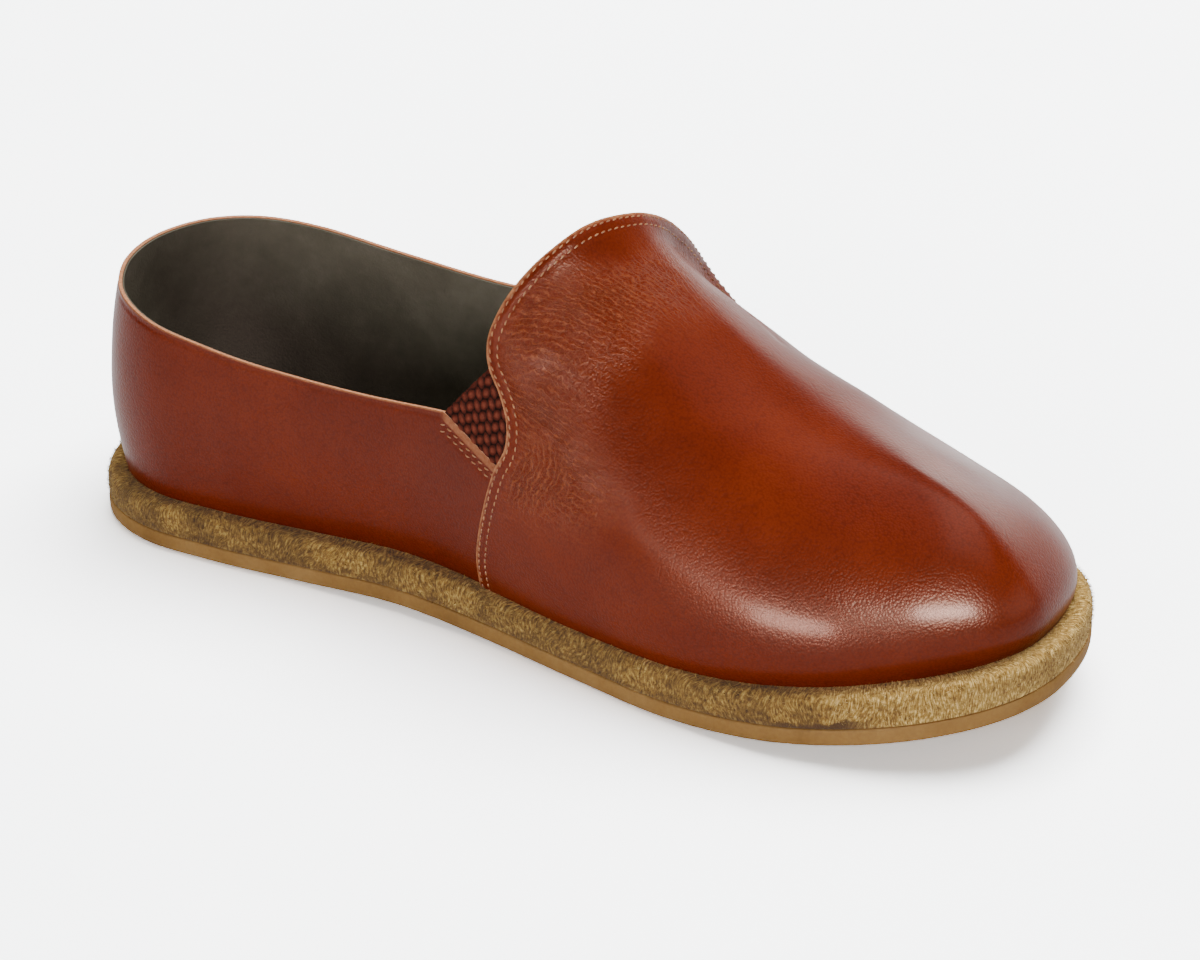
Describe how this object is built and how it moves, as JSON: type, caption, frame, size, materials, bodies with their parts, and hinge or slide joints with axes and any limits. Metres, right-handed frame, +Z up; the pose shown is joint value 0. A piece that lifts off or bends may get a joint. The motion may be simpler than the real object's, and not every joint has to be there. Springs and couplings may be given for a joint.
{
  "type": "slip-on loafer shoe",
  "caption": "Left slip-on loafer: a plain leather upper with a high rounded tab and elastic side gussets, on a napped split-leather midsole and a thin rubber sole.",
  "frame": {"origin": "on the ground under the middle of the sole's overall length and width", "axes": "+X from heel to toe, +Y towards the lateral (outer) side, +Z up"},
  "size_m": [0.284, 0.1157, 0.1068],
  "materials": {
    "outsole": "matt tan rubber",
    "midsole": "napped split leather, raw edge",
    "insole": "plain lining leather",
    "upper": "smooth polished reddish-brown leather",
    "gusset_medial": "coarse woven elastic",
    "gusset_lateral": "coarse woven elastic"
  },
  "bodies": {
    "root": {"outsole": "outsole", "midsole": "midsole", "insole": "insole", "upper": "upper", "gusset_medial": "gusset_medial", "gusset_lateral": "gusset_lateral"}
  },
  "joints": []
}
